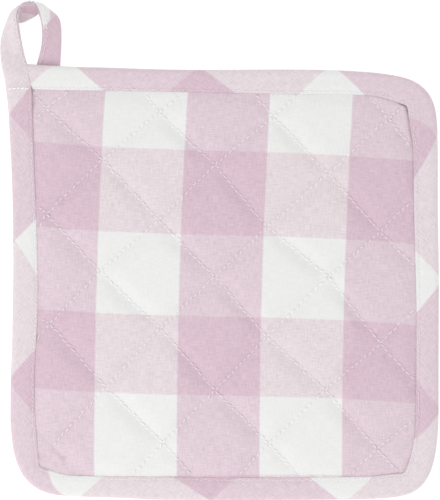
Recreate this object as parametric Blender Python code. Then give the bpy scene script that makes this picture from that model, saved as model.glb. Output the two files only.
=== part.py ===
"""A square quilted pot holder lying on its back.

It is made of one filled panel sewn down along a lattice of crossing lines, a folded tape bound
round the panel's edge, and the end of that tape turned over into a hanging loop at the top left
corner. The origin is under the middle of the whole thing, on the surface it lies on. X runs to
the right, Y towards the loop and Z up, away from the surface. Tables and sizes are in
millimetres and become metres when a mesh is made.
"""

from collections import namedtuple
from math import cos, floor, pi, sin, sqrt

import bmesh
import bpy
from mathutils import Vector
from mathutils.geometry import delaunay_2d_cdt

MM = 0.001

# Heights and thicknesses
MID_HEIGHT = 4.1       # the middle of the panel's edge above the surface it lies on
SEWN_HALF = 1.2        # half the panel's thickness along its stitching and its cut edge
FRONT_PUFF = 2.5       # how much higher the filling stands inside a diamond, on the front
BACK_PUFF = 3.6        # the same on the back, where the surface then flattens it
UNEVENNESS = 0.12      # how much a diamond's filling may differ from the usual one
UNEVEN_DOWN, UNEVEN_UP = 2.3, 1.7  # turns of the wave that shares the difference out, in radians
CLEARANCE = 0.3        # between two pieces
TAPE_WALL = 0.8        # the tape, folded under, on either side of the panel
STRAP_THICKNESS = 1.5  # the tape folded shut, where it leaves the panel as the loop
FOLD_PROFILE = ((0.15, 0.4), (0.8, 0.78), (2.4, 1.0))  # in from the fold, share of half its height
HEM_BEVEL = 0.4        # on the tape's turned-under edge, along the seam

# The panel's stitching: one crossing, and the steps to the next one down and up to the right
CROSSING = Vector((-2.3, -12.5))
STEP_DOWN = Vector((25.7, -27.0))
STEP_UP = Vector((26.1, 25.5))
DIAMOND_SHARES = (0, 0.12, 0.3, 0.5, 0.7, 0.88)  # where points stand across one diamond
LATTICE_REACH = 6      # diamonds counted each way from the first crossing
MERGE_DISTANCE = 0.01  # points of the flat panel closer than this become one
KEEP_INSIDE = 1        # the filling option that keeps only triangles inside the outline

# The panel inside its binding
CUT_EDGE_INSET = 1.2   # the panel's cut edge, in from the binding's fold
FLAT_INSET = 0.5       # the panel stays thin this far in from the binding's seam
PUFF_RINGS = (0.5, 2.5, 5.5)  # rings of points that shape the slope next to the seam
PUFF_RUN = 8.0         # the filling has its full height this far in from the seam

# One row for each place along the binding: its outer fold, and the seam where it ends on the
# panel. The rows run clockwise, seen from above.
Row = namedtuple("Row", "edge_x edge_y seam_x seam_y")
TOP_ROWS = (
    Row(-102.3, 86.2, -88.4, 75.4),
    Row(-96.0, 86.2, -87.4, 75.3),
    Row(-89.9, 86.1, -85.6, 75.2),
    Row(-75.0, 85.9, -74.0, 74.9),
    Row(-53.9, 85.6, -53.9, 74.7),
    Row(-9.4, 84.4, -8.4, 73.9),
    Row(28.0, 84.6, 30.0, 73.1),
    Row(60.9, 84.3, 61.8, 72.9),
)
RIGHT_ROWS = (
    Row(102.1, 55.3, 90.4, 48.7),
    Row(102.4, 20.0, 91.2, 17.8),
    Row(102.6, -25.0, 92.4, -25.8),
    Row(102.6, -60.5, 92.2, -60.3),
    Row(102.3, -84.3, 91.8, -81.5),
)
BOTTOM_ROWS = (
    Row(67.9, -116.8, 69.0, -106.2),
    Row(21.0, -117.1, 19.7, -106.6),
    Row(-25.0, -117.0, -28.1, -106.2),
    Row(-63.2, -115.8, -63.7, -106.0),
)
LEFT_ROWS = (
    Row(-97.7, -86.7, -86.5, -83.4),
    Row(-98.3, -62.0, -86.9, -62.0),
    Row(-96.9, -14.0, -85.2, -18.7),
    Row(-97.8, 42.2, -87.1, 42.2),
    Row(-99.3, 67.9, -88.0, 66.5),
    Row(-100.8, 78.5, -88.6, 74.0),
    TOP_ROWS[0],
)
STEPS_PER_ROW = 3

# The rounded corners: the power of the rounding, 2 being an ellipse, and the seam's corner
Corner = namedtuple("Corner", "fullness seam_x seam_y")
TOP_RIGHT = Corner(2.45, 87.7, 67.6)
BOTTOM_RIGHT = Corner(2.8, 86.2, -104.5)
BOTTOM_LEFT = Corner(2.5, -84.7, -101.4)
CORNER_STEPS = 10
SEAM_SHARPNESS = 6.0   # how close the seam runs to its corner point
SEAM_SLACK = 0.001     # share of a seam row's length by which a line may miss its ends

# One row for each place along the loop, from the left strand's foot over the top to the tail
# under the binding: the strap's inner rim, next to the eye, and its outer rim
Fold = namedtuple("Fold", "inner_x inner_y inner_z outer_x outer_y outer_z")
STRAP_ROWS = (
    Fold(-90.4, 86.6, 4.1, -102.3, 86.6, 4.1),
    Fold(-91.3, 91.4, 4.4, -102.9, 92.4, 3.8),
    Fold(-92.6, 96.6, 5.5, -102.8, 97.8, 3.2),
    Fold(-94.2, 102.2, 7.4, -101.4, 103.0, 2.0),
    Fold(-95.1, 107.6, 9.0, -98.5, 105.8, 1.2),
    Fold(-93.9, 112.8, 9.8, -94.4, 106.2, 1.6),
    Fold(-89.5, 115.5, 9.9, -89.1, 107.5, 2.4),
    Fold(-85.2, 114.0, 9.8, -83.6, 109.5, 1.8),
    Fold(-83.1, 108.4, 8.9, -77.8, 109.9, 1.4),
    Fold(-82.2, 101.8, 6.9, -74.9, 104.0, 1.2),
    Fold(-82.6, 96.6, 4.6, -74.5, 97.6, 1.0),
    Fold(-83.8, 91.4, 2.4, -74.7, 91.6, 0.8),
    Fold(-85.2, 86.2, 1.0, -74.9, 86.2, 0.75),
    Fold(-86.4, 80.6, 0.75, -75.2, 80.6, 0.75),
    Fold(-87.0, 76.6, 0.75, -75.4, 76.6, 0.75),
)

PANEL_CLOTH = ("panel_cloth", (0.77, 0.65, 0.70, 1.0))
TAPE_CLOTH = ("tape_cloth", (0.74, 0.60, 0.66, 1.0))
CLOTH_ROUGHNESS = 0.9


def clear_scene():
    for old in list(bpy.data.objects):
        bpy.data.objects.remove(old)


def cloth(name, colour):
    material = bpy.data.materials.get(name) or bpy.data.materials.new(name)
    material.use_nodes = True
    material.diffuse_color = colour
    shader = material.node_tree.nodes["Principled BSDF"]
    shader.inputs["Base Color"].default_value = colour
    shader.inputs["Roughness"].default_value = CLOTH_ROUGHNESS
    shader.inputs["Metallic"].default_value = 0.0
    return material


def place(name, work, look, collection):
    """Turns a bmesh in millimetres into a named, smooth object in metres."""
    bmesh.ops.scale(work, vec=(MM, MM, MM), verts=work.verts)
    bmesh.ops.recalc_face_normals(work, faces=work.faces)
    mesh = bpy.data.meshes.new(name)
    work.to_mesh(mesh)
    work.free()
    mesh.shade_smooth()
    mesh.materials.append(cloth(*look))
    piece = bpy.data.objects.new(name, mesh)
    collection.objects.link(piece)
    return piece


def smooth_rows(rows, steps):
    """Rows on a smooth curve through the given ones, with the ends of the curve kept."""
    vectors = [Vector(row) for row in rows]
    vectors = [vectors[0], *vectors, vectors[-1]]
    found = []
    for before, start, end, after in zip(vectors, vectors[1:], vectors[2:], vectors[3:]):
        for step in range(steps):
            t = step / steps
            found.append(
                start
                + (end - before) * t / 2
                + (before - start * 2.5 + end * 2 - after / 2) * t**2
                + (start * 1.5 - before / 2 - end * 1.5 + after / 2) * t**3
            )
    found.append(vectors[-1])
    return found


def corner_rows(start, end, corner):
    """Rows round a corner: a full, rounded fold outside and a nearly sharp seam inside."""
    edge_from, edge_to = Vector(start[:2]), Vector(end[:2])
    middles = (Vector((edge_from.x, edge_to.y)), Vector((edge_to.x, edge_from.y)))
    centre = min(middles, key=lambda point: point.length)
    seam_from, seam_to = Vector(start[2:]), Vector(end[2:])
    seam_corner = Vector((corner.seam_x, corner.seam_y))
    found = []
    for step in range(1, CORNER_STEPS):
        t = step / CORNER_STEPS
        along, across = cos(t * pi / 2), sin(t * pi / 2)
        power = 2 / corner.fullness
        edge = centre + (edge_from - centre) * along**power + (edge_to - centre) * across**power
        weights = ((1 - t) ** 2, 2 * SEAM_SHARPNESS * t * (1 - t), t**2)
        seam = seam_from * weights[0] + seam_corner * weights[1] + seam_to * weights[2]
        found.append(Vector((*edge, *(seam / sum(weights)))))
    return found


def binding_rows():
    """Every row round the pot holder, clockwise from the top left corner."""
    top, right, bottom, left = (
        smooth_rows(rows, STEPS_PER_ROW)
        for rows in (TOP_ROWS, RIGHT_ROWS, BOTTOM_ROWS, LEFT_ROWS)
    )
    return [
        *top,
        *corner_rows(top[-1], right[0], TOP_RIGHT),
        *right,
        *corner_rows(right[-1], bottom[0], BOTTOM_RIGHT),
        *bottom,
        *corner_rows(bottom[-1], left[0], BOTTOM_LEFT),
        *left[:-1],
    ]


def loft(sections, closed):
    """Skins one ring of points after another, with caps on the ends unless it closes on itself."""
    work = bmesh.new()
    rings = [[work.verts.new(point) for point in section] for section in sections]
    pairs = list(zip(rings, rings[1:] + rings[:1])) if closed else list(zip(rings, rings[1:]))
    for ring, following in pairs:
        for i, vert in enumerate(ring):
            j = (i + 1) % len(ring)
            work.faces.new((vert, ring[j], following[j], following[i]))
    if not closed:
        work.faces.new(rings[0])
        work.faces.new(rings[-1])
    return work


def edge_binding(rows, collection):
    """The tape folded over the panel's edge: a U section carried all the way round."""
    groove = SEWN_HALF + CLEARANCE
    outside = groove + TAPE_WALL
    groove_end = CUT_EDGE_INSET - CLEARANCE
    sections = []
    for row in rows:
        edge, seam = Vector(row[:2]), Vector(row[2:])
        width = (seam - edge).length
        inward = (seam - edge) / width
        # how far in from the fold, and how far above the panel's middle, over the front half
        front = (
            (0, 0),
            *((inset, outside * share) for inset, share in FOLD_PROFILE),
            (width - HEM_BEVEL, outside),
            (width, outside - HEM_BEVEL),
            (width, groove),
            (groove_end, groove),
        )
        back = [(inset, -height) for inset, height in reversed(front[1:])]
        sections.append([
            (*(edge + inward * inset), MID_HEIGHT + height)
            for inset, height in (*front, *back)
        ])
    return place("edge_binding", loft(sections, closed=True), TAPE_CLOTH, collection)


def hanging_loop(collection):
    """The tape folded shut: a flat strap that tips on edge over the top of the loop."""
    rims = smooth_rows(STRAP_ROWS, STEPS_PER_ROW)
    middles = [(Vector(rim[:3]) + Vector(rim[3:])) / 2 for rim in rims]
    half, bevel = STRAP_THICKNESS / 2, STRAP_THICKNESS / 4
    sections = []
    for i, rim in enumerate(rims):
        run = middles[min(i + 1, len(rims) - 1)] - middles[max(i - 1, 0)]
        across = Vector(rim[3:]) - Vector(rim[:3])
        half_width = across.length / 2
        across.normalize()
        upward = run.cross(across).normalized()
        profile = (
            (-half_width, -bevel),
            (bevel - half_width, -half),
            (half_width - bevel, -half),
            (half_width, -bevel),
            (half_width, bevel),
            (half_width - bevel, half),
            (bevel - half_width, half),
            (-half_width, bevel),
        )
        sections.append([middles[i] + across * a + upward * u for a, u in profile])
    return place("hanging_loop", loft(sections, closed=False), TAPE_CLOTH, collection)


class QuiltedSurface:
    """How thick the panel is at any point: thin along its stitching and its bound edge."""

    def __init__(self, rows):
        self.seam = [Vector(row[2:]) for row in rows]
        low = Vector((min(p.x for p in self.seam), min(p.y for p in self.seam)))
        high = Vector((max(p.x for p in self.seam), max(p.y for p in self.seam)))
        self.centre = (low + high) / 2
        self.half_side = (high.x - low.x + high.y - low.y) / 4

    def ring(self, inset):
        """The seam's outline moved in towards the middle."""
        return [self.centre + (p - self.centre) * (1 - inset / self.half_side) for p in self.seam]

    def crossings(self, start, end):
        """Where a straight line from start to end crosses the seam, in order along the line."""
        run = end - start
        found = []
        for side_start, side_end in zip(self.seam, self.seam[1:] + self.seam[:1]):
            side = side_end - side_start
            slant = run.cross(side)
            if slant == 0:
                continue
            along_run = (side_start - start).cross(side) / slant
            along_side = (side_start - start).cross(run) / slant
            if 0 <= along_run <= 1 and -SEAM_SLACK <= along_side <= 1 + SEAM_SLACK:
                found.append(along_run)
        return [start + run * share for share in sorted(found)]

    def inset(self, point):
        """How far in from the seam a point lies, negative where it lies under the binding."""
        out = point - self.centre
        if out.length < 1:
            return self.half_side
        far = self.centre + out * (3 * self.half_side / out.length)
        seam = self.crossings(self.centre, far)[0]
        return (1 - out.length / (seam - self.centre).length) * self.half_side

    def fullness(self, point):
        """0 on the stitching and at the seam, 1 in the middle of a diamond."""
        from_crossing = point - CROSSING
        area = STEP_DOWN.cross(STEP_UP)
        down = from_crossing.cross(STEP_UP) / area
        up = STEP_DOWN.cross(from_crossing) / area
        shares = (
            2 * abs(down - round(down)),
            2 * abs(up - round(up)),
            max(0, self.inset(point) - FLAT_INSET) / PUFF_RUN,
        )
        full = 1 + UNEVENNESS * sin(UNEVEN_DOWN * floor(down) + UNEVEN_UP * floor(up))
        for share in shares:
            full *= sqrt(1 - (1 - min(share, 1)) ** 2)
        return full


def panel_outline(rows):
    """The panel's cut edge, a little inside the binding's fold."""
    found = []
    for row in rows:
        edge, seam = Vector(row[:2]), Vector(row[2:])
        found.append(edge + (seam - edge).normalized() * CUT_EDGE_INSET)
    return found


def lattice_points(surface):
    """Points across each diamond, as far out as the innermost ring."""
    found = []
    for down in range(-LATTICE_REACH, LATTICE_REACH):
        for up in range(-LATTICE_REACH, LATTICE_REACH):
            for part_down in DIAMOND_SHARES:
                for part_up in DIAMOND_SHARES:
                    point = CROSSING + STEP_DOWN * (down + part_down) + STEP_UP * (up + part_up)
                    if surface.inset(point) > PUFF_RINGS[-1] + 1:
                        found.append(point)
    return found


def stitching_ends(surface, along, across):
    """The two ends of each stitched line, where it meets the binding's seam."""
    found = []
    for number in range(-LATTICE_REACH, LATTICE_REACH + 1):
        middle = CROSSING + across * number
        reach = along * 2 * LATTICE_REACH
        hits = surface.crossings(middle - reach, middle + reach)
        if len(hits) > 1:
            found.append((hits[0], hits[-1]))
    return found


def quilted_panel(rows, collection):
    """A flat outline filled with triangles, thickened, then raised between the stitching."""
    surface = QuiltedSurface(rows)
    points, lines = [], []
    for ring in (panel_outline(rows), *(surface.ring(inset) for inset in PUFF_RINGS)):
        first = len(points)
        points += ring
        lines += [(first + i, first + (i + 1) % len(ring)) for i in range(len(ring))]
    for along, across in ((STEP_DOWN, STEP_UP), (STEP_UP, STEP_DOWN)):
        for ends in stitching_ends(surface, along, across):
            lines.append((len(points), len(points) + 1))
            points += ends
    points += lattice_points(surface)
    filled = delaunay_2d_cdt(points, lines, [], KEEP_INSIDE, MERGE_DISTANCE)
    flat, triangles = filled[0], filled[2]

    work = bmesh.new()
    back = [work.verts.new((*point, 0)) for point in flat]
    for triangle in triangles:
        work.faces.new([back[i] for i in triangle])
    raised = bmesh.ops.extrude_face_region(work, geom=work.faces[:])
    front = {item for item in raised["geom"] if isinstance(item, bmesh.types.BMVert)}
    for vert in work.verts:
        full = surface.fullness(vert.co.to_2d())
        if vert in front:
            vert.co.z = MID_HEIGHT + SEWN_HALF + FRONT_PUFF * full
        else:
            vert.co.z = max(0, MID_HEIGHT - SEWN_HALF - BACK_PUFF * full)
    return place("quilted_panel", work, PANEL_CLOTH, collection)


clear_scene()
pot_holder = bpy.data.collections.new("pot_holder")
bpy.context.scene.collection.children.link(pot_holder)
edge_rows = binding_rows()
quilted_panel(edge_rows, pot_holder)
edge_binding(edge_rows, pot_holder)
hanging_loop(pot_holder)
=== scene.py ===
"""Dresses a square quilted pot holder that lies on its back: the padded check panel, the bias
tape bound round it and folded on into the hanging loop, and every row of stitching."""

from collections import namedtuple
from math import pi

import bpy
import numpy as np
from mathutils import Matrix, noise
from numpy.linalg import norm


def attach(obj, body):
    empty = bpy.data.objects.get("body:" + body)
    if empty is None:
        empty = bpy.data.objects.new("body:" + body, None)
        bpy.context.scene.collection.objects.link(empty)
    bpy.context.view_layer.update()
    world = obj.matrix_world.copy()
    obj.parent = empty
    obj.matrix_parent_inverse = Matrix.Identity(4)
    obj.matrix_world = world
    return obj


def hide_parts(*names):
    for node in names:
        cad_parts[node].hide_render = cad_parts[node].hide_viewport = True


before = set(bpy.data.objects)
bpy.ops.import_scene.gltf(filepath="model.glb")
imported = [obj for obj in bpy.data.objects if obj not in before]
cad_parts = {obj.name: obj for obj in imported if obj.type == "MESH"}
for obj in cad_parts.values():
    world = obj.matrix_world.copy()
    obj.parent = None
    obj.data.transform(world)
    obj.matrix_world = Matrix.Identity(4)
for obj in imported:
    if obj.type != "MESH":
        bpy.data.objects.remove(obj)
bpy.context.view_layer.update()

MM = 0.001

# One row for each place along the tape, clockwise: its outer fold, and its seam on the panel
Row = namedtuple("Row", "edge_x edge_y seam_x seam_y")
TOP_ROWS = (
    Row(-102.3, 87.0, -88.4, 75.4),
    Row(-96.0, 87.2, -87.4, 75.3),
    Row(-89.9, 87.0, -85.6, 75.2),
    Row(-82.5, 86.5, -80.0, 75.1),
    Row(-75.0, 86.1, -74.0, 74.9),
    Row(-64.0, 85.6, -64.0, 74.8),
    Row(-53.9, 85.4, -53.9, 74.7),
    Row(-30.0, 84.6, -30.0, 74.4),
    Row(-9.4, 84.3, -8.4, 73.9),
    Row(28.0, 84.5, 30.0, 73.1),
    Row(52.0, 84.2, 53.0, 73.0),
    Row(70.2, 83.2, 69.0, 72.5),
    Row(78.0, 82.3, 73.0, 72.1),
)
RIGHT_ROWS = (
    Row(101.8, 56.0, 90.4, 48.7),
    Row(102.0, 42.0, 90.6, 38.0),
    Row(102.0, 20.0, 90.9, 17.8),
    Row(102.4, -8.0, 91.6, -10.0),
    Row(102.4, -25.0, 92.0, -25.8),
    Row(102.3, -60.5, 91.9, -60.3),
    Row(102.35, -78.3, 91.7, -77.5),
)
BOTTOM_ROWS = (
    Row(80.3, -115.9, 72.0, -105.9),
    Row(67.9, -116.6, 66.0, -106.2),
    Row(21.0, -117.1, 19.7, -106.6),
    Row(-25.0, -117.0, -28.1, -106.2),
    Row(-48.0, -116.0, -48.5, -106.1),
    Row(-70.0, -115.3, -71.0, -105.6),
)
LEFT_ROWS = (
    Row(-98.1, -79.4, -86.5, -80.0),
    Row(-98.0, -62.0, -86.9, -62.0),
    Row(-97.4, -45.0, -86.3, -46.0),
    Row(-97.0, -23.4, -85.3, -25.0),
    Row(-96.8, -5.0, -85.5, -8.0),
    Row(-97.0, 18.0, -86.2, 17.3),
    Row(-97.6, 38.0, -87.0, 36.0),
    Row(-99.3, 67.9, -88.0, 66.5),
    Row(-100.8, 78.5, -88.6, 74.0),
    TOP_ROWS[0],
)
STEPS_PER_ROW = 16

# The corners: how full the fold goes round, 2 being an ellipse, the point where its two straight
# edges would meet, the sharp corner of the seam, and the points that draw its curve in and out
Corner = namedtuple(
    "Corner", "fullness edge_x edge_y seam_x seam_y before_x before_y after_x after_y"
)
TOP_RIGHT = Corner(3.1, 100.6, 78.7, 87.7, 67.6, 78.5, 71.0, 89.0, 57.6)
BOTTOM_RIGHT = Corner(3.3, 100.4, -112.9, 86.2, -104.5, 91.5, -94.4, 79.3, -105.0)
BOTTOM_LEFT = Corner(3.05, -96.1, -113.2, -84.7, -101.4, -75.3, -104.7, -85.6, -91.5)
CORNER_STEPS = 60

# Heights above the table, and the stitching's lattice: one crossing and the steps to the next
MID_HEIGHT = 4.1
SEWN_HALF = 1.2
CUT_EDGE_INSET = 1.2
CROSSING = np.array((-2.3, -12.5))
STEP_DOWN = np.array((25.7, -27.0))
STEP_UP = np.array((26.1, 25.5))
CELLS = 26  # cells of the cloth along one side of a diamond, two for each stitch
REACH = 5  # diamonds counted each way from the first crossing

# Where the sewn lines really cross: steps down, steps up, x and y
CROSSINGS = (
    (-3, -1, -105.4, 36.5), (-3, 0, -81.5, 66.5), (-3, 1, -45.9, 90.9),
    (-2, -2, -105.9, -23.4), (-2, -1, -81.2, 17.2), (-2, 0, -54.9, 42.2), (-2, 1, -29.0, 64.2),
    (-2, 2, 2.8, 89.0),
    (-1, -2, -79.6, -34.2), (-1, -1, -56.2, -10.2), (-1, 0, -28.9, 14.1), (-1, 1, -2.3, 39.8),
    (-1, 2, 24.8, 62.3), (-1, 3, 53.9, 89.0),
    (0, -3, -78.1, -91.3), (0, -2, -53.4, -64.0), (0, -1, -28.1, -36.5), (0, 0, -2.3, -12.5),
    (0, 1, 21.9, 10.9), (0, 2, 50.7, 35.9), (0, 3, 78.8, 61.7), (0, 4, 102.6, 79.6),
    (1, -2, -26.6, -90.4), (1, -1, -2.3, -65.6), (1, 0, 21.9, -40.6), (1, 1, 50.7, -12.5),
    (1, 2, 74.9, 8.6), (1, 3, 100.2, 34.2),
    (2, -1, 22.6, -90.5), (2, 0, 49.2, -65.6), (2, 1, 74.9, -43.7),
    (3, 0, 73.4, -92.9), (3, 1, 100.7, -71.7),
)


def smooth_rows(rows):
    """Rows on a smooth curve through the given ones, with the ends of the curve kept."""
    points = np.array([rows[0], *rows, rows[-1]], float)
    t = (np.arange(STEPS_PER_ROW) / STEPS_PER_ROW)[:, None]
    found = []
    for before, start, end, after in zip(points, points[1:], points[2:], points[3:]):
        found.append(
            start
            + (end - before) * t / 2
            + (before - start * 2.5 + end * 2 - after / 2) * t**2
            + (start * 1.5 - before / 2 - end * 1.5 + after / 2) * t**3
        )
    return np.concatenate([*found, points[-1:]])


def corner_rows(start, end, corner):
    """Rows round a corner: a full, rounded fold outside and a sharp seam inside."""
    straight = np.array((corner.edge_x, corner.edge_y))
    t = (np.arange(1, CORNER_STEPS) / CORNER_STEPS)[:, None]
    power = 2 / corner.fullness
    edge = (
        start[:2] + end[:2] - straight
        + (straight - end[:2]) * np.cos(t * pi / 2) ** power
        + (straight - start[:2]) * np.sin(t * pi / 2) ** power
    )
    seam_corner = np.array((corner.seam_x, corner.seam_y))
    before = np.array((corner.before_x, corner.before_y))
    after = np.array((corner.after_x, corner.after_y))
    into, out_of = np.minimum(t * 2, 1), np.maximum(t * 2 - 1, 0)
    towards = start[2:] * (1 - into) ** 2 + before * 2 * into * (1 - into) + seam_corner * into**2
    away = seam_corner * (1 - out_of) ** 2 + after * 2 * out_of * (1 - out_of) + end[2:] * out_of**2
    return np.hstack([edge, np.where(t < 0.5, towards, away)])


def unit(vectors):
    return vectors / norm(vectors, axis=-1, keepdims=True)


top, right, bottom, left = (
    smooth_rows(rows) for rows in (TOP_ROWS, RIGHT_ROWS, BOTTOM_ROWS, LEFT_ROWS)
)
around = np.concatenate([
    top,
    corner_rows(top[-1], right[0], TOP_RIGHT),
    right,
    corner_rows(right[-1], bottom[0], BOTTOM_RIGHT),
    bottom,
    corner_rows(bottom[-1], left[0], BOTTOM_LEFT),
    left[:-1],
])
seam_line = around[:, 2:]
cut_line = around[:, :2] + unit(seam_line - around[:, :2]) * CUT_EDGE_INSET
panel_centre = (seam_line.min(axis=0) + seam_line.max(axis=0)) / 2


def reach_of(line, points):
    """How far a closed line lies from the panel's centre, in the direction of each point."""
    out = line - panel_centre
    angles = np.arctan2(out[:, 1], out[:, 0])
    order = np.argsort(angles)
    towards = points - panel_centre
    return np.interp(
        np.arctan2(towards[:, 1], towards[:, 0]),
        angles[order],
        norm(out, axis=1)[order],
        period=2 * pi,
    )


def inset(points):
    """How far in from the seam each point lies, negative where it lies under the tape."""
    away = norm(points - panel_centre, axis=1)
    return reach_of(seam_line, points) - away


# How far each crossing lies from an even lattice, spread to the ones beyond the panel
size = 2 * REACH + 1
shift = np.zeros((size, size, 2))
known = np.zeros((size, size), bool)
for down, up, x, y in CROSSINGS:
    shift[down + REACH, up + REACH] = (x, y) - (CROSSING + STEP_DOWN * down + STEP_UP * up)
    known[down + REACH, up + REACH] = True
while not known.all():
    spread, found = shift.copy(), known.copy()
    for down in range(size):
        for up in range(size):
            if not known[down, up]:
                near = [
                    shift[d, u]
                    for d in range(max(down - 1, 0), min(down + 2, size))
                    for u in range(max(up - 1, 0), min(up + 2, size))
                    if known[d, u]
                ]
                if near:
                    spread[down, up], found[down, up] = np.mean(near, axis=0), True
    shift, known = spread, found


def lattice_place(down, up):
    """The place on the panel of lattice counts, which are whole numbers at the crossings."""
    low_down, low_up = np.floor(down).astype(int), np.floor(up).astype(int)
    part_down, part_up = (down - low_down)[..., None], (up - low_up)[..., None]
    a = np.clip(low_down + REACH, 0, size - 2)
    b = np.clip(low_up + REACH, 0, size - 2)
    moved = (shift[a, b] * (1 - part_down) + shift[a + 1, b] * part_down) * (1 - part_up) + (
        shift[a, b + 1] * (1 - part_down) + shift[a + 1, b + 1] * part_down
    ) * part_up
    return CROSSING + down[..., None] * STEP_DOWN + up[..., None] * STEP_UP + moved


# Both faces as they are cut and sewn: cells along the lattice, out to the cut edge
count = np.arange(-REACH * CELLS, REACH * CELLS + 1)
down_count, up_count = np.meshgrid(count, count, indexing="ij")
spots = lattice_place(down_count / CELLS, up_count / CELLS)
from_centre = norm(spots - panel_centre, axis=2)
cut_reach = reach_of(cut_line, spots.reshape(-1, 2)).reshape(from_centre.shape)
kept = from_centre < cut_reach
cells = kept[:-1, :-1] & kept[1:, :-1] & kept[1:, 1:] & kept[:-1, 1:]


def corners_of(cells):
    """Where the lattice has a point that is a corner of one of the cells."""
    found = np.zeros((cells.shape[0] + 1, cells.shape[1] + 1), bool)
    for a in (slice(None, -1), slice(1, None)):
        for b in (slice(None, -1), slice(1, None)):
            found[a, b] |= cells
    return found


def cell_faces(cells, numbers):
    """The four corners of every cell, as vertex numbers."""
    a, b = np.nonzero(cells)
    corners = (numbers[a, b], numbers[a + 1, b], numbers[a + 1, b + 1], numbers[a, b + 1])
    return np.stack(corners, axis=1)


def open_edges(faces):
    """The directed edges that only one face has."""
    edges = np.concatenate([faces[:, (k, (k + 1) % 4)] for k in range(4)])
    _, place, uses = np.unique(
        np.sort(edges, axis=1), axis=0, return_inverse=True, return_counts=True
    )
    return edges[uses[place.ravel()] == 1]


on_cloth = corners_of(cells)
numbers = np.full(kept.shape, -1)
numbers[on_cloth] = np.arange(on_cloth.sum())
faces = cell_faces(cells, numbers)
rim_edges = open_edges(faces)
on_rim = np.isin(numbers, rim_edges) & on_cloth
snapped = (cut_reach / np.maximum(from_centre, 1))[..., None]
spots = np.where(on_rim[..., None], panel_centre + (spots - panel_centre) * snapped, spots)
seam_inset = inset(spots.reshape(-1, 2)).reshape(kept.shape)
on_line = (down_count % CELLS == 0) | (up_count % CELLS == 0)

# The filling: pressure blows both faces up between the pins, which are the sewn lines and all
# that the tape holds. One unit of the simulation is 10 mm.
SIM_UNIT = 10.0
PINNED_INSET = 0.2  # the cloth is held from this far inside the seam outwards
PRESSURE = 1.8
SLACK = 0.022  # share by which the cloth is longer than the seams that hold it
CLOTH_BEND = 0.05  # how stiff it is against bending
SIM_FRAMES = 20
FRONT_PUFF = 2.0  # the most that a diamond rises on the front
BACK_PUFF = 3.3  # the same on the back, before the table flattens it
FULL_RISE = 3.4  # the simulated rise that fills a diamond out
FLAT_TOPPED, DOMED, DOME_RISE = 0.9, 0.1, 4.3  # shares of two shapes, and the full dome's rise
TABLE_GAP = 0.02

count_on_cloth = on_cloth.sum()
flat_front = np.column_stack([spots[on_cloth], np.full(count_on_cloth, MID_HEIGHT + SEWN_HALF)])
flat_back = flat_front - (0, 0, 2 * SEWN_HALF)
pinned = (on_line | (seam_inset < PINNED_INSET))[on_cloth]
scene = bpy.context.scene


def placed(name, data):
    """A new object in the scene, at the origin."""
    made = bpy.data.objects.new(name, data)
    scene.collection.objects.link(made)
    return made


def blown_up(front, back):
    """The two faces after the cloth simulation."""
    sides = np.column_stack([rim_edges[:, ::-1], rim_edges + count_on_cloth])
    mesh = bpy.data.meshes.new("blown_up")
    mesh.from_pydata(
        (np.concatenate([front, back]) / SIM_UNIT).tolist(),
        [],
        np.concatenate([faces, faces[:, ::-1] + count_on_cloth, sides]).tolist(),
    )
    trial = placed("blown_up", mesh)
    held = np.nonzero(np.concatenate([pinned, pinned]))[0]
    trial.vertex_groups.new(name="sewn").add(held.tolist(), 1.0, "REPLACE")
    cloth = trial.modifiers.new("cloth", "CLOTH")
    cloth.settings.vertex_group_mass = "sewn"
    cloth.settings.use_pressure = True
    cloth.settings.uniform_pressure_force = PRESSURE
    cloth.settings.shrink_min = cloth.settings.shrink_max = -SLACK
    cloth.settings.bending_stiffness = CLOTH_BEND
    cloth.settings.effector_weights.gravity = 0
    cloth.collision_settings.use_collision = False
    cloth.point_cache.frame_start, cloth.point_cache.frame_end = 1, SIM_FRAMES
    for moment in range(1, SIM_FRAMES + 1):
        scene.frame_set(moment)
    result = trial.evaluated_get(bpy.context.evaluated_depsgraph_get()).to_mesh()
    places = np.empty(len(result.vertices) * 3)
    result.vertices.foreach_get("co", places)
    bpy.data.objects.remove(trial)
    scene.frame_set(1)
    return np.split(places.reshape(-1, 3) * SIM_UNIT, 2)


def settled(rise, most):
    """The rise of soft cotton filling: drawn flat beside the seams, and nearly flat on top."""
    share = np.clip(rise / FULL_RISE, 0, 1)
    flat_top, dome = share**2 * (3 - 2 * share), np.maximum(rise, 0)
    return most * (FLAT_TOPPED * flat_top + DOMED * dome / DOME_RISE)


front, back = blown_up(flat_front, flat_back)

# Relief of the front, in millimetres: how unevenly it is filled, and how it puckers at the seams
ALONG, ACROSS = 37.2, 36.4  # one lattice step, along and across the sewn lines
STITCH_PITCH = ALONG / (CELLS / 2)
UNEVEN_FILLING, PATCH_SIZE = 0.14, (17, 17)
BESIDE_STITCH, STITCH_DRAW = 0.07, 0.6  # scallops beside the thread, and how far they reach
SCALLOPS_END = 6
DRAG_LINES, DRAG_REACH = 0.17, 5.0  # creases that run away from the seam
DRAG_START = 0.8  # how far from the thread they set in
DRAG_WAVES = ((0.5, (3.6, 9.0), 0.0), (-0.6, (4.7, 9.0), 5.5))  # slant, size and noise layer
NEEDLE_HOLE, NEEDLE_REACH = (0.32, 0.12), 0.45  # on lines that fall to the right, and rise
SHALLOWEST = 0.15  # the least deep hole, as a share of the deepest
TAPE_DRAG, TAPE_DRAG_REACH = 1.3, 7.0  # how much stronger the creases are beside the tape
RELIEF_FROM = 0.5  # the relief begins so far outside the seam
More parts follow.
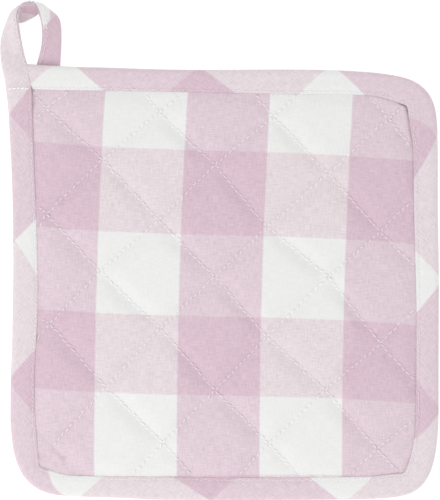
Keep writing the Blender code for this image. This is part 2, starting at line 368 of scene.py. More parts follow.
# How deep the panel dips into the seam beside the tape, at places round it
Dip = namedtuple("Dip", "x y depth")
SEAM_DIPS = (
    Dip(-88, 74, -0.1), Dip(-87, 50, 0.1), Dip(-86, 10, -0.15), Dip(-87, -60, -0.1),
    Dip(-70, 75, 0.0), Dip(0, 74, 0.0), Dip(60, 73, -0.05), Dip(80, 70, 0.22),
    Dip(87.7, 67.6, 1.0), Dip(89.3, 58, 0.55), Dip(91, 40, 0.2), Dip(92, -20, 0.05),
    Dip(92, -80, 0.17), Dip(86, -104.5, 0.25), Dip(60, -106, -0.15), Dip(-30, -106, -0.15),
    Dip(-84.7, -101.4, -0.05),
)
SEAM_DIP_REACH = 0.9
# Short creases where the front puckers in the bottom left corner, below its last crossing
Crease = namedtuple("Crease", "from_x from_y to_x to_y depth")
CREASES = (
    Crease(-78.0, -92.6, -84.0, -96.9, 0.45), Crease(-78.0, -92.6, -73.0, -96.9, 0.5),
    Crease(-73.0, -96.9, -70.8, -103.0, 0.35),
)
CREASE_REACH = 1.0


def wave(points, scale, layer=0.0):
    """Smooth unevenness from -1 to 1 at each point, about as large as the scale."""
    return np.array([noise.noise((x / scale[0], y / scale[1], layer)) for x, y in points])


def grid_of(values, numbers_on):
    """Values of the vertices put back on the lattice, and nothing off the cloth."""
    grid = np.full((*numbers_on.shape, values.shape[1]), np.nan)
    grid[numbers_on] = values
    return grid


def refined(grid):
    """A grid with a point added between every two, on a smooth surface."""
    rows, columns, width = grid.shape
    fine = np.full((2 * rows - 1, 2 * columns - 1, width), np.nan)
    fine[::2, ::2] = grid
    fine[1::2, ::2] = (grid[1:] + grid[:-1]) / 2
    fine[:, 1::2] = (fine[:, 2::2] + fine[:, :-2:2]) / 2
    mean = sum(
        weight * fine[1 + a : fine.shape[0] - 1 + a, 1 + b : fine.shape[1] - 1 + b]
        for a, b, weight in [
            (0, 0, 1 / 4), (1, 0, 1 / 8), (-1, 0, 1 / 8), (0, 1, 1 / 8), (0, -1, 1 / 8),
            (1, 1, 1 / 16), (1, -1, 1 / 16), (-1, 1, 1 / 16), (-1, -1, 1 / 16),
        ]
    )
    inner = fine[1:-1, 1:-1]
    fine[1:-1, 1:-1] = np.where(np.isfinite(mean), mean, inner)
    return fine


rise = front[:, 2] - flat_front[:, 2]
patchy = 1 + UNEVEN_FILLING * wave(front[:, :2], PATCH_SIZE, 3.1)
front[:, 2] = flat_front[:, 2] + settled(rise * patchy, FRONT_PUFF)
back[:, 2] = flat_back[:, 2] - settled(flat_back[:, 2] - back[:, 2], BACK_PUFF)
back[:, 2] = np.maximum(back[:, 2], TABLE_GAP)

fine_front = refined(grid_of(front, on_cloth))
fine_cells = np.repeat(np.repeat(cells, 2, axis=0), 2, axis=1)
fine_on = corners_of(fine_cells)
fine_numbers = np.full(fine_on.shape, -1)
fine_numbers[fine_on] = np.arange(fine_on.sum())
fine_down, fine_up = (np.argwhere(fine_on) / (2 * CELLS) - REACH).T
surface = fine_front[fine_on]
fine_inset = inset(surface[:, :2])
pucker, hole = np.zeros(len(surface)), np.zeros(len(surface))
drag_share = DRAG_LINES * (1 + TAPE_DRAG * np.exp(-np.maximum(fine_inset, 0) / TAPE_DRAG_REACH))
for along, across, layer, deepest in (
    (fine_down, fine_up, 7.0, NEEDLE_HOLE[0]), (fine_up, fine_down, 19.0, NEEDLE_HOLE[1])
):
    line = np.round(across)
    away = abs(across - line) * ACROSS
    run = along * ALONG
    phase = np.cos(2 * pi * run / STITCH_PITCH)
    beside = away / STITCH_DRAW
    pucker -= BESIDE_STITCH * phase * beside * np.exp(1 - beside) * (away < SCALLOPS_END)
    drag = sum(
        wave(np.column_stack([run + away * slant, away]), crease_size, layer + apart)
        for slant, crease_size, apart in DRAG_WAVES
    )
    pucker += drag_share * drag * (1 - np.exp(-away / DRAG_START)) * np.exp(-away / DRAG_REACH)
    nearest = np.round(run / STITCH_PITCH)
    to_hole = run - nearest * STITCH_PITCH
    # Luck is a share of its own for every hole, and the same in each run
    luck = abs(np.modf(np.sin(nearest * 12.99 + line * 78.2 + layer) * 4375.9)[0])
    depth = deepest * (SHALLOWEST + (1 - SHALLOWEST) * luck**2)
    hole = np.maximum(hole, depth * np.exp(-(to_hole**2 + away**2) / NEEDLE_REACH**2))
for crease in CREASES:
    start, end = np.array(crease[:4]).reshape(2, 2)
    from_start = surface[:, :2] - start
    share = np.clip(from_start @ (end - start) / np.sum((end - start) ** 2), 0, 1)[:, None]
    away = norm(from_start - (end - start) * share, axis=1)
    pucker -= crease.depth * np.exp(-((away / CREASE_REACH) ** 2))
nearness = [1 / np.sum((surface[:, :2] - (dip.x, dip.y)) ** 2, axis=1) ** 2 for dip in SEAM_DIPS]
seam_dip = sum(near * dip.depth for near, dip in zip(nearness, SEAM_DIPS)) / sum(nearness)
seam_dip = seam_dip * np.exp(-((fine_inset / SEAM_DIP_REACH) ** 2))
surface[:, 2] += (pucker - hole) * np.clip(fine_inset + RELIEF_FROM, 0, 1) - seam_dip
fine_front[fine_on] = surface

# One closed mesh: the fine front, the coarser back, and the cut edge that joins them
fine_faces = cell_faces(fine_cells, fine_numbers)
at_row, at_column = np.nonzero(on_cloth)
first, second = rim_edges.T
middle = fine_numbers[at_row[first] + at_row[second], at_column[first] + at_column[second]]
corner = fine_numbers[2 * at_row, 2 * at_column]
below = len(surface)
cut_edge = np.column_stack([
    corner[second], middle, corner[first], first + below, second + below
])
panel_mesh = bpy.data.meshes.new("quilted_check_panel")
panel_mesh.from_pydata(
    (np.concatenate([surface, back]) * MM).tolist(),
    [],
    [*fine_faces.tolist(), *(faces[:, ::-1] + below).tolist(), *cut_edge.tolist()],
)
panel_mesh.shade_smooth()
panel = placed("quilted_check_panel", panel_mesh)

# The cloth's colours, where its white or dyed threads cross, and the check they make
WHITE = (0.793, 0.797, 0.790, 1)
PALE = (0.733, 0.656, 0.684, 1)  # pale pink weft over white warp
MEDIUM = (0.697, 0.574, 0.628, 1)  # strong pink warp under white weft
DEEP = (0.650, 0.493, 0.563, 1)  # both threads pink
CHECK = 38.6  # width of one stripe, in millimetres
WARP_START, WARP_LEAN, WARP_BOW = 57.1, -0.034, -0.00017
WEFT_START, WEFT_LEAN, WEFT_BOW, WEFT_SWAY = 45.6, 0.0235, -0.00043, 0.0000030
WEFT_TURN, WEFT_SCALE = 0.00006, 1.004
HEM_PULL_FROM, HEM_PULL_OVER = 75.0, 30.5  # the last rows are drawn down into the seam
HEM_PULL, HEM_PULL_LEAN = 1.86, 0.0318
EDGE_SOFTNESS = 17  # how sharply one stripe turns into the next
THREAD = 0.45  # a thread's width
SLUB_WIDTH, SLUB_LENGTH = 0.54, 4.0  # where a thread is coarser, and hides the one it crosses
SLUBS_APART = 31.0  # so that the two threads' noises differ
SLUB_SHADE = (0.72, 0.72, 0.72, 1)  # it stands up there and shades what lies beside it
UNDYED_SLUBS = 0.38  # how much less that shows where no thread is dyed
PAINTED_GAP_SHADE = (0.42, 0.32, 0.36, 1)  # painted shade: a dark colour painted between the threads, where they shade each other
GAP_SHADE_DARKEST, GAP_SHADE_FADE = 0.1, -0.16  # how strong that painted shade is, and its fading up a thread
THREAD_RELIEF = 0.35  # of the weave, beside that of its slubs
BUMP_STRENGTH, BUMP_DEPTH = 0.35, 0.06
COTTON = {
    "Roughness": 0.86, "Sheen Weight": 0.12, "Sheen Roughness": 0.5, "Specular IOR Level": 0.25,
}


class Yarn:
    """A number, colour or direction that changes over the cloth: one socket of its nodes."""

    def __init__(self, tree, socket=None):
        self.tree, self.socket = tree, socket

    def feed(self, socket, value):
        if isinstance(value, Yarn):
            self.tree.links.new(value.socket, socket)
        else:
            socket.default_value = value

    def node(self, kind, settings, inputs, output=0):
        """Any node: its settings are made first, then the values or links of its sockets."""
        made = self.tree.nodes.new(kind)
        for name, value in settings.items():
            setattr(made, name, value)
        for name, value in inputs.items():
            self.feed(made.inputs[name], value)
        return Yarn(self.tree, made.outputs[output])

    def reckon(self, operation, *values, clamp=False):
        settings = {"operation": operation, "use_clamp": clamp}
        return self.node("ShaderNodeMath", settings, dict(enumerate(values)))

    def __add__(self, other):
        return self.reckon("ADD", self, other)

    def __sub__(self, other):
        return self.reckon("SUBTRACT", self, other)

    def __rsub__(self, other):
        return self.reckon("SUBTRACT", other, self)

    def __mul__(self, other):
        return self.reckon("MULTIPLY", self, other)

    __radd__, __rmul__ = __add__, __mul__

    def clamped(self):
        return self.reckon("ADD", self, 0.0, clamp=True)

    def sine(self):
        return self.reckon("SINE", self)

    def blend(self, low, high, way="MIX"):
        """Colour that goes from low to high as this goes from 0 to 1, and on past either."""
        settings = {"data_type": "RGBA", "clamp_factor": False, "blend_type": way}
        return self.node("ShaderNodeMix", settings, {0: self, 6: low, 7: high}, 2)

    def streaks(self, across, along):
        """Soft noise from 0 to 1 over two measures, each in lengths of the noise."""
        place = self.node("ShaderNodeCombineXYZ", {}, {0: across, 1: along})
        return self.node("ShaderNodeTexNoise", {}, {"Vector": place, "Scale": 1.0, "Detail": 1.0})


def stripes(count):
    """0 on even stripes and 1 on odd ones."""
    return (0.5 - (count * pi).sine() * EDGE_SOFTNESS).clamped()


def new_material(name, looks):
    """A material and its shader, with the same look all over."""
    material = bpy.data.materials.new(name)
    material.use_nodes = True
    shader = material.node_tree.nodes["Principled BSDF"]
    for socket, value in looks.items():
        shader.inputs[socket].default_value = value
    return material, shader


def new_cloth(name):
    """An undyed cotton material, its shader, and its wiring."""
    material, shader = new_material(name, COTTON)
    return material, shader, Yarn(material.node_tree)


def gingham(warp_dyed, weft_dyed):
    """The colour of a check's squares."""
    return warp_dyed.blend(weft_dyed.blend(WHITE, PALE), weft_dyed.blend(MEDIUM, DEEP))


def weave(shader, cloth, across_warp, across_weft, warp_dyed, weft_dyed):
    """Dyes and weaves a cotton, with shade painted between its threads and beside its slubs:
    across_warp counts millimetres over the warp threads.
    """
    slubs = [
        cloth.streaks(one * (1 / SLUB_WIDTH), other * (1 / SLUB_LENGTH) + apart) - 0.5
        for one, other, apart in (
            (across_warp, across_weft, 0.0), (across_weft, across_warp, SLUBS_APART)
        )
    ]
    slub = slubs[0] + slubs[1]
    dyed = (warp_dyed + weft_dyed).clamped()
    shade = slub * (dyed * (1 - UNDYED_SLUBS) + UNDYED_SLUBS)
    colour = shade.blend(gingham(warp_dyed, weft_dyed), SLUB_SHADE, "MULTIPLY")
    over_under = (across_warp * (pi / THREAD)).sine() * (across_weft * (pi / THREAD)).sine()
    # Painted shade between the threads, darkest where neither thread crosses over
    gap = ((over_under * over_under) * GAP_SHADE_FADE + GAP_SHADE_DARKEST).clamped()
    cloth.feed(shader.inputs["Base Color"], gap.blend(colour, PAINTED_GAP_SHADE))
    height = over_under * THREAD_RELIEF + slub
    bump = {"Strength": BUMP_STRENGTH, "Distance": BUMP_DEPTH * MM, "Height": height}
    cloth.feed(shader.inputs["Normal"], cloth.node("ShaderNodeBump", {}, bump))


def in_millimetres(cloth, place):
    """The two measures of a place that is given in metres."""
    outputs = cloth.node("ShaderNodeSeparateXYZ", {}, {0: place}).socket.node.outputs
    return [Yarn(cloth.tree, outputs[axis]) * (1 / MM) for axis in "XY"]


def panel_check(cloth):
    """Millimetres over the panel's warp and weft threads, and where each of them is dyed."""
    x, y = in_millimetres(cloth, cloth.node("ShaderNodeTexCoord", {}, {}, "Object"))
    columns = x + y * WARP_LEAN + y * y * WARP_BOW + WARP_START
    rows = WEFT_START - y * WEFT_SCALE - x * WEFT_LEAN - x * y * WEFT_TURN
    rows = rows - y * y * WEFT_BOW - x * x * x * WEFT_SWAY
    near_bottom = ((y + HEM_PULL_FROM) * (-1 / HEM_PULL_OVER)).clamped()
    rows = rows - near_bottom * near_bottom * (HEM_PULL - x * HEM_PULL_LEAN)
    return columns, rows, stripes(columns * (1 / CHECK)), 1 - stripes(rows * (1 / CHECK))


panel_cloth, shader, cloth = new_cloth("panel_gingham")
weave(shader, cloth, *panel_check(cloth))
panel_mesh.materials.append(panel_cloth)
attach(panel, "root")
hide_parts("quilted_panel")

# --------------------------------------------------------------
# The tape: one strip of the same gingham, cut 42 mm wide on the bias and folded in four. It is
# sewn over the panel's raw edge all the way round, starts under its own end at the top left
# corner, and runs on from there as the hanging loop, whose tail is caught behind the top edge.

# The tape's two rims where it leaves the panel, up and over: hem side first, then fold side
Fold = namedtuple("Fold", "inner_x inner_y inner_z outer_x outer_y outer_z")
LAP_ROWS = (
    Fold(-88.0, 66.5, 4.1, -99.3, 67.9, 4.1),
    Fold(-88.2, 74.9, 4.1, -100.2, 75.3, 4.1),
    Fold(-89.4, 80.0, 4.1, -100.9, 80.4, 4.1),
    Fold(-90.3, 85.4, 4.2, -102.2, 85.8, 4.0),
)
STRAP_ROWS = (
    Fold(-92.0, 91.4, 4.4, -102.9, 92.4, 3.8),
    Fold(-93.1, 96.6, 5.5, -102.8, 97.8, 3.2),
    Fold(-94.0, 102.2, 7.4, -101.5, 103.1, 2.2),
    Fold(-94.5, 106.9, 8.8, -99.6, 106.9, 1.8),
    Fold(-94.5, 110.3, 9.3, -97.1, 109.9, 1.5),
    Fold(-93.5, 113.0, 9.6, -96.0, 108.6, 1.3),
    Fold(-91.6, 114.5, 9.9, -94.0, 106.6, 1.3),
    Fold(-88.5, 115.2, 10.0, -88.4, 109.0, 1.3),
    Fold(-86.0, 114.5, 9.8, -85.6, 110.8, 1.3),
    Fold(-84.7, 112.4, 9.5, -84.0, 113.3, 1.3),
    Fold(-83.7, 109.6, 9.1, -79.8, 112.0, 1.3),
    Fold(-82.9, 106.6, 8.5, -76.0, 109.2, 1.3),
    Fold(-82.5, 102.6, 7.0, -74.8, 104.7, 1.3),
    Fold(-83.0, 96.6, 4.8, -74.6, 97.6, 1.4),
    Fold(-84.3, 91.4, 3.0, -74.8, 91.6, 1.5),
    Fold(-85.9, 86.2, 1.5, -75.1, 86.2, 1.1),
    Fold(-86.6, 80.6, 0.85, -75.4, 80.6, 0.85),
    Fold(-87.2, 76.6, 0.85, -75.6, 76.6, 0.85),
)
TAPE_START_X = -97.0  # the strip's raw start, hidden under its own end
ROWS_OVERLAPPED = 2  # at the end of LEFT_ROWS, where the tape follows LAP_ROWS
STATION = 0.66  # spacing of the cross sections
RAW_EDGE, RAW_MIDDLE = 0.32, 0.6  # its raw edge inside, and half way to it, as shares of its width
CLOTH_THICKNESS = 0.3
LAYER_STEP = 0.38  # from one layer of the tape to the next
# Half its height: round the panel, over its own start, as the strap, and at the loop's top
BOUND_HALF, LAP_HALF, STRAP_HALF, LOOP_TOP_HALF = 2.3, 3.0, 0.78, 1.05
# Lengths along the tape from where it leaves the panel, with what it has there: half its height,
# how far it is still the binding, how far its hem is drawn in, and how far the strap bellies out
HALF_HEIGHTS = (
    (-8, BOUND_HALF), (1, LAP_HALF), (15, LAP_HALF), (26, STRAP_HALF), (35, STRAP_HALF),
    (42, LOOP_TOP_HALF), (55, LOOP_TOP_HALF), (64, STRAP_HALF),
)
BOUND_SHARES = ((17, 1), (27, 0))
HEM_DRAWN_IN = ((-2, 1), (4, 0), (16, 0), (20, 1))
BELLIES = ((30, 0), (39, 1.2), (44, 1.5), (48, 2.4), (52, 2.6), (56, 1.9), (60, 1.2), (68, 0))
# How many times its lines, its heights, its pull at the corners and its marks are smoothed
LINE_SMOOTHING, HEIGHT_SMOOTHING, PULL_SMOOTHING, MARK_SMOOTHING = 3, 6, 8, 30
STITCH_DIP, BACK_STITCH_DIP, STITCH_DIP_REACH = 0.5, 0.3, 1.1
HEM_DIP, HEM_DIP_REACH = 0.5, 1.0
FOLD_ROUNDNESS = 1.05  # how far in the fold's curve reaches, in halves of the tape's height
SCALLOPS, SCALLOPS_REACH = -0.06, 1.2  # between the stitches
CREASE_DEPTH, CORNER_CREASES, CREASES_REACH = 0.1, 0.14, 4.5  # creases from the stitches
CREASE_WAVES = ((0.8, (3.4, 7.0), 0), (-0.7, (4.6, 8.0), 9))  # slant, size and noise layer
SWELL, SWELL_SIZE = 0.16, (15, 9)
LIP, STRAP_LIP = 0.06, 0.14  # how far the hem's turn reaches out
TURN_INSETS = (0.1, 1.5)  # from the hem, where the cloth has turned in
INNER_LEAST = 0.19  # the raw ends' height over the middle, at least
TAPE_PITCH = 1.98  # one stitch of the tape's row
TAPE_PERIOD = 125.5  # one repeat of the check along the bias
BIAS_SLOPE = 1.2
TAPE_MIDDLE = 5.15  # where the check's repeat is measured, in from the fold
ROUND_THE_FOLD = 1.1  # how much of the cloth goes round the fold, before its width counts
DRAWN_LAG = 0.45  # how much later the weft is drawn on towards the hem, as a share

# Places along the tape: the repeats of its check so far, .009 past the half where both threads
# are pink, how far its fold has wandered over the check, how far in from the hem it is sewn, and
# the repeats by which its weft threads are drawn ahead
Mark = namedtuple("Mark", "x y repeats wander stitch_inset drawn", defaults=(0.0,))
MARKS = (
    Mark(-73.5, 80.5, -0.008, -0.9, 0.7), Mark(-8.9, 79.5, 0.506, 1.8, 0.8),
    Mark(51.1, 79.0, 0.992, 0.9, 1.1), Mark(97.0, 49.9, 1.507, 4.1, 1.5),
    Mark(97.0, -14.1, 2.0, 1.8, 1.2), Mark(97.0, -76.3, 2.521, 2.3, 1.1),
    Mark(58.5, -111.5, 2.992, 1.8, 1.0), Mark(-6.1, -111.7, 3.511, 3.2, 1.0),
    Mark(-69.0, -111.0, 4.007, 0.9, 1.0), Mark(-92.5, -60.9, 4.507, 2.3, 0.9),
    Mark(-91.5, 2.1, 4.992, 4.5, 0.8), Mark(-93.5, 64.6, 5.52, 4.1, 0.9),
    Mark(-91.4, 110.0, 5.94, 3.6, 1.3, -0.07), Mark(-84.0, 113.0, 6.005, 3.6, 1.3),
    Mark(-82.1, 110.9, 6.032, 3.6, 1.2), Mark(-80.6, 108.8, 6.053, 3.6, 1.2, 0.55),
    Mark(-79.0, 103.0, 6.1, 3.6, 1.1, 0.55),
)

rounding = around[np.argmax(around[:, 0] > TAPE_START_X) : -STEPS_PER_ROW * ROWS_OVERLAPPED]
bound = np.column_stack([
    rounding[:, 2:], np.full(len(rounding), MID_HEIGHT),
    rounding[:, :2], np.full(len(rounding), MID_HEIGHT),
])
leaving = smooth_rows((*LAP_ROWS, *STRAP_ROWS))
stations = np.concatenate([bound, leaving])


def run_along(line):
    """The length of a line from its start to each of its points."""
    return np.concatenate([[0], np.cumsum(norm(np.diff(line, axis=0), axis=1))])


def resampled(table, lengths, wanted):
    return np.column_stack([np.interp(wanted, lengths, column) for column in table.T])


def smoothed(values, times):
    """Values along the tape with their kinks taken out, the two ends kept."""
    for _ in range(times):
        values = np.concatenate([
            values[:1], (values[:-2] + 2 * values[1:-1] + values[2:]) / 4, values[-1:]
        ])
    return values


lengths = run_along((stations[:, :3] + stations[:, 3:]) / 2)
leaves_at = lengths[len(bound)]
wanted = np.linspace(0, lengths[-1], int(lengths[-1] / STATION))
stations = smoothed(resampled(stations, lengths, wanted), LINE_SMOOTHING)
hem, fold = stations[:, :3], stations[:, 3:]
run = run_along((hem + fold) / 2)
width = norm(hem - fold, axis=1)
across = unit(hem - fold)
forward = unit(np.gradient((hem + fold) / 2, axis=0))
upward = unit(np.cross(forward, -across))

# How thick it stands: round the panel, over its own start, and folded shut as the strap
past = run - leaves_at
half = smoothed(np.interp(past, *zip(*HALF_HEIGHTS)), HEIGHT_SMOOTHING)
bound_share = np.interp(past, *zip(*BOUND_SHARES))
hem_dip = HEM_DIP * bound_share * np.interp(past, *zip(*HEM_DRAWN_IN))
belly = smoothed(np.interp(past, *zip(*BELLIES)), HEIGHT_SMOOTHING)

# The tape's own measures: repeats of its check along it, in millimetres of the bias
middle_line = (hem + fold) / 2
mark_at = [
    run[np.argmin(norm(middle_line[:, :2] - (mark.x, mark.y), axis=1))] for mark in MARKS
]
counted = [mark.repeats for mark in MARKS]
bias_run = TAPE_PERIOD * np.interp(
    run,
    [mark_at[0] - TAPE_PERIOD, *mark_at, mark_at[-1] + TAPE_PERIOD],
    [counted[0] - 1, *counted, counted[-1] + 1],
)
wander, stitch_inset = (
    smoothed(np.interp(run, mark_at, values), MARK_SMOOTHING)
    for values in zip(*((mark.wander, mark.stitch_inset) for mark in MARKS))
)
stitch_line = hem - across * stitch_inset[:, None]
stitch_run = run_along(stitch_line)
corner_pull = np.clip(1 - np.gradient(stitch_run) / np.gradient(run), 0, 1)
corner_pull = smoothed(corner_pull, PULL_SMOOTHING)

# Columns across it: in from the fold, between, and in from the hem as shares of the stitches'
NEAR_FOLD = (0.15, 0.4, 1.0, 2.0)
MIDDLE = (0.25, 0.5, 0.75)
NEAR_HEM = (2.6, 2.0, 1.45, 1.0, 0.5, 0.12)
STITCH_COLUMN = len(NEAR_FOLD) + len(MIDDLE) + NEAR_HEM.index(1.0) + 1
inner_width = width - NEAR_FOLD[-1] - NEAR_HEM[0] * stitch_inset
outer_columns = (
    *(np.full_like(width, inset_in) for inset_in in NEAR_FOLD),
    *(NEAR_FOLD[-1] + share * inner_width for share in MIDDLE),
    *(width - share * stitch_inset for share in NEAR_HEM),
)


def outer_height(inset_in, front):
    """Half the tape's height at its outer surface, for each station."""
    roundness = np.clip(inset_in / (FOLD_ROUNDNESS * half), 0, 1)
    height = half * np.sqrt(1 - (1 - roundness) ** 2)
    from_hem = width - inset_in
    away = from_hem - stitch_inset
    sewn = bound_share * (STITCH_DIP if front else BACK_STITCH_DIP)
    dip = sewn * np.exp(-((away / STITCH_DIP_REACH) ** 2))
    dip = np.maximum(dip, hem_dip * np.exp(-((from_hem / HEM_DIP_REACH) ** 2)))
    off_fold = np.clip(inset_in / 2, 0, 1)
    phase = np.cos(2 * pi * stitch_run / TAPE_PITCH)
    scallops = SCALLOPS * phase * np.exp(-abs(away) / SCALLOPS_REACH)
    spots_on = np.column_stack([run, np.broadcast_to(inset_in, run.shape)])
    layer = 2.0 if front else 40.0
    drags = sum(
        wave(spots_on + inset_in[:, None] * (slant, 0), crease_size, layer + apart)
        for slant, crease_size, apart in CREASE_WAVES
    )
    drags = drags * (CREASE_DEPTH + CORNER_CREASES * corner_pull)
    drags = drags * np.exp(-abs(away) / CREASES_REACH)
    swell = SWELL * wave(spots_on, SWELL_SIZE, layer + 21) * bound_share
    return height - dip + (scallops + drags + swell) * off_fold * np.minimum(half, 1)


def half_section(front):
    """One half's columns from the fold to its raw end inside: how far in and how high."""
    side = 1 if front else -1
    found = []
    for inset_in in outer_columns:
        found.append((inset_in, side * (outer_height(inset_in, front) - CLOTH_THICKNESS / 2)))
    lip_height = found[-1][1]
    strap_share = 1 - bound_share
    turned_in = bound_share * (lip_height - side * LAYER_STEP) + strap_share * side * INNER_LEAST
    found.append((width + LIP + STRAP_LIP * strap_share, (lip_height + turned_in) / 2))
    found.append((width - TURN_INSETS[0], turned_in))
    for inset_in in (width - TURN_INSETS[1], width * RAW_MIDDLE, width * RAW_EDGE):
        height = outer_height(inset_in, front) - CLOTH_THICKNESS / 2 - LAYER_STEP
        found.append((inset_in, side * np.maximum(height, INNER_LEAST)))
    return found


front_half, back_half = half_section(True), half_section(False)
columns_across = [
    *front_half[::-1], (np.full_like(width, CLOTH_THICKNESS / 2), np.zeros_like(width)), *back_half
]
sheet = np.stack([
    fold
    + across * inset_in[:, None]
    + upward * (height + belly * 4 * (inset_in / width) * (1 - inset_in / width))[:, None]
    for inset_in, height in columns_across
], axis=1)
sheet[..., 2] = np.maximum(sheet[..., 2], TABLE_GAP + CLOTH_THICKNESS / 2)
cloth_width = np.concatenate([
    np.zeros((len(run), 1)), np.cumsum(norm(np.diff(sheet, axis=1), axis=2), axis=1)
], axis=1)
fold_column = len(front_half)
cloth_width = (cloth_width[:, fold_column, None] - cloth_width) - ROUND_THE_FOLD
behind = run[:, None] - DRAWN_LAG * np.maximum(cloth_width, 0)
drawn = TAPE_PERIOD / 2 * np.interp(behind, mark_at, [mark.drawn for mark in MARKS])

skin = unit(np.cross(np.gradient(sheet, axis=0), np.gradient(sheet, axis=1)))
skin *= np.sign((skin[:, fold_column - STITCH_COLUMN] * upward).sum())
rows_along, columns_over = sheet.shape[:2]
tape_points = np.concatenate([
    (sheet + skin * CLOTH_THICKNESS / 2).reshape(-1, 3),
    (sheet - skin * CLOTH_THICKNESS / 2).reshape(-1, 3),
])
at = np.arange(rows_along * columns_over).reshape(rows_along, columns_over)
grid_faces = np.stack([at[:-1, :-1], at[1:, :-1], at[1:, 1:], at[:-1, 1:]], axis=2).reshape(-1, 4)
border = np.concatenate([at[0, :-1], at[:-1, -1], at[-1, :0:-1], at[:0:-1, 0]])
following = np.roll(border, -1)
rim_faces = np.column_stack([border, border + at.size, following + at.size, following])


def cloth_mesh(name, points, faces, material, widths=None):
    """A smooth-shaded mesh in metres, with the cloth's own measures as its UV map."""
    mesh = bpy.data.meshes.new(name)
    mesh.from_pydata((points * MM).tolist(), [], faces)
    mesh.shade_smooth()
    mesh.materials.append(material)
    if widths is not None:
        corners = np.empty(len(mesh.loops), int)
        mesh.loops.foreach_get("vertex_index", corners)
        measures = mesh.uv_layers.new(name="cut_cloth")
        measures.data.foreach_set("uv", (widths[corners] * MM).ravel())
    return placed(name, mesh)


WARP_OFFSET, WEFT_OFFSET = 0.088, 0.4215  # where the pink threads begin, in repeats


def tape_check(cloth):
    """Millimetres over the tape's warp and weft threads, and where each of them is dyed."""
    along, over = in_millimetres(cloth, cloth.node("ShaderNodeUVMap", {"uv_map": "cut_cloth"}, {}))
    over = (over - TAPE_MIDDLE) * BIAS_SLOPE
    warp_count = (along - over) * (2 / TAPE_PERIOD) - 2 * WARP_OFFSET
    weft_count = (along + over) * (2 / TAPE_PERIOD) - 2 * WEFT_OFFSET
    share = 1 / (1 + BIAS_SLOPE**2) ** 0.5
    return (
        (along - over) * share, (along + over) * share,
        1 - stripes(warp_count), 1 - stripes(weft_count),
    )


tape_cloth, shader, cloth = new_cloth("tape_gingham")
weave(shader, cloth, *tape_check(cloth))
cut_cloth = np.stack([
    bias_run[:, None] + drawn,
    cloth_width - wander[:, None] + drawn / BIAS_SLOPE,
], axis=2)
measures = cut_cloth.reshape(-1, 2)
tape = cloth_mesh(
    "bias_tape",
    tape_points,
    np.concatenate([grid_faces[:, ::-1], grid_faces + at.size, rim_faces]).tolist(),
    tape_cloth,
    np.concatenate([measures, measures]),
)
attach(tape, "root")
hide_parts("edge_binding", "hanging_loop")

# --------------------------------------------------------------
# The stitching: fine white sewing thread, one row of lockstitch along every line of the quilting
# on both faces, one round the tape on both faces that runs on up the loop, and a short row across
# the tape where the loop begins. Each stitch dips into its needle holes, and the cloth's pink
# shows through it, except where the loop is sewn down with a heavier thread.
THREAD_RADIUS = 0.38
QUILTING_RADIUS = 0.46  # its stitches are looser, and spread
TAPE_RADIUS, TACKING_RADIUS = THREAD_RADIUS * 0.72, THREAD_RADIUS * 1.05
FALLING_SUNK, RISING_SUNK = 0.06, 0.15  # how deep the two sets of rows are drawn in
THREAD_SIDES = 6
STITCH_SHARE = 0.84  # how much of the pitch shows between two needle holes
STITCH_STEPS = (0.0, 0.18, 0.5, 0.82, 1.0)
QUILT_ARCH = (-0.15, 0.26, 0.36, 0.26, -0.15)  # over the line from hole to hole
BACK_ARCH = (-0.15, 0.12, 0.18, 0.12, -0.15)
TAPE_ARCH = (-0.15, 0.08, 0.14, 0.08, -0.15)
SLANT, WOBBLE = 0.2, 0.25  # how far a stitch lies across its line, always and by chance
# The least and the most of what chance makes of a stitch's gaps, thickness and fullness
GAPS, THICKNESSES, FULLNESSES = (0.6, 1.5), (0.88, 1.1), (0.75, 1.2)
END_TAPER = 0.7
THREAD_COLOUR, THREAD_SHADE = (0.95, 0.95, 0.95, 1), (0.86, 0.85, 0.85, 1)
THREAD_COVER = 0.34  # how far the fine thread hides the colour below it
HIDDEN_INSET = 0.4  # quilting stitches show from this far inside the tape's seam
# In the bottom left corner the front puckers, and swallows the thread round its last crossing
LAST_CROSSING, PUCKER_RIGHT, PUCKER_TOP = (-79.0, -92.2), -56.0, -78.0
TAPE_ROW_FROM_X = -87  # the tape's row begins here, behind its own end
CROSS_ROW_Y = 75.6
CROSS_PITCH, CROSS_START = 1.9, 0.2
NEAR_LEAVING = 20  # the row across isn't further than this before the tape leaves the panel
# Where the loop's end was sewn to and fro, and how far beside the first row
TACKED, TACKED_REACH, TACKED_ABOVE = (-83.4, 89.0), 3.5, 84
TACKED_BESIDE = (0.5, 0.9, 0)
chance = np.random.default_rng(5)

Stitching = namedtuple("Stitching", "holes ups arch radius measures", defaults=(None,))


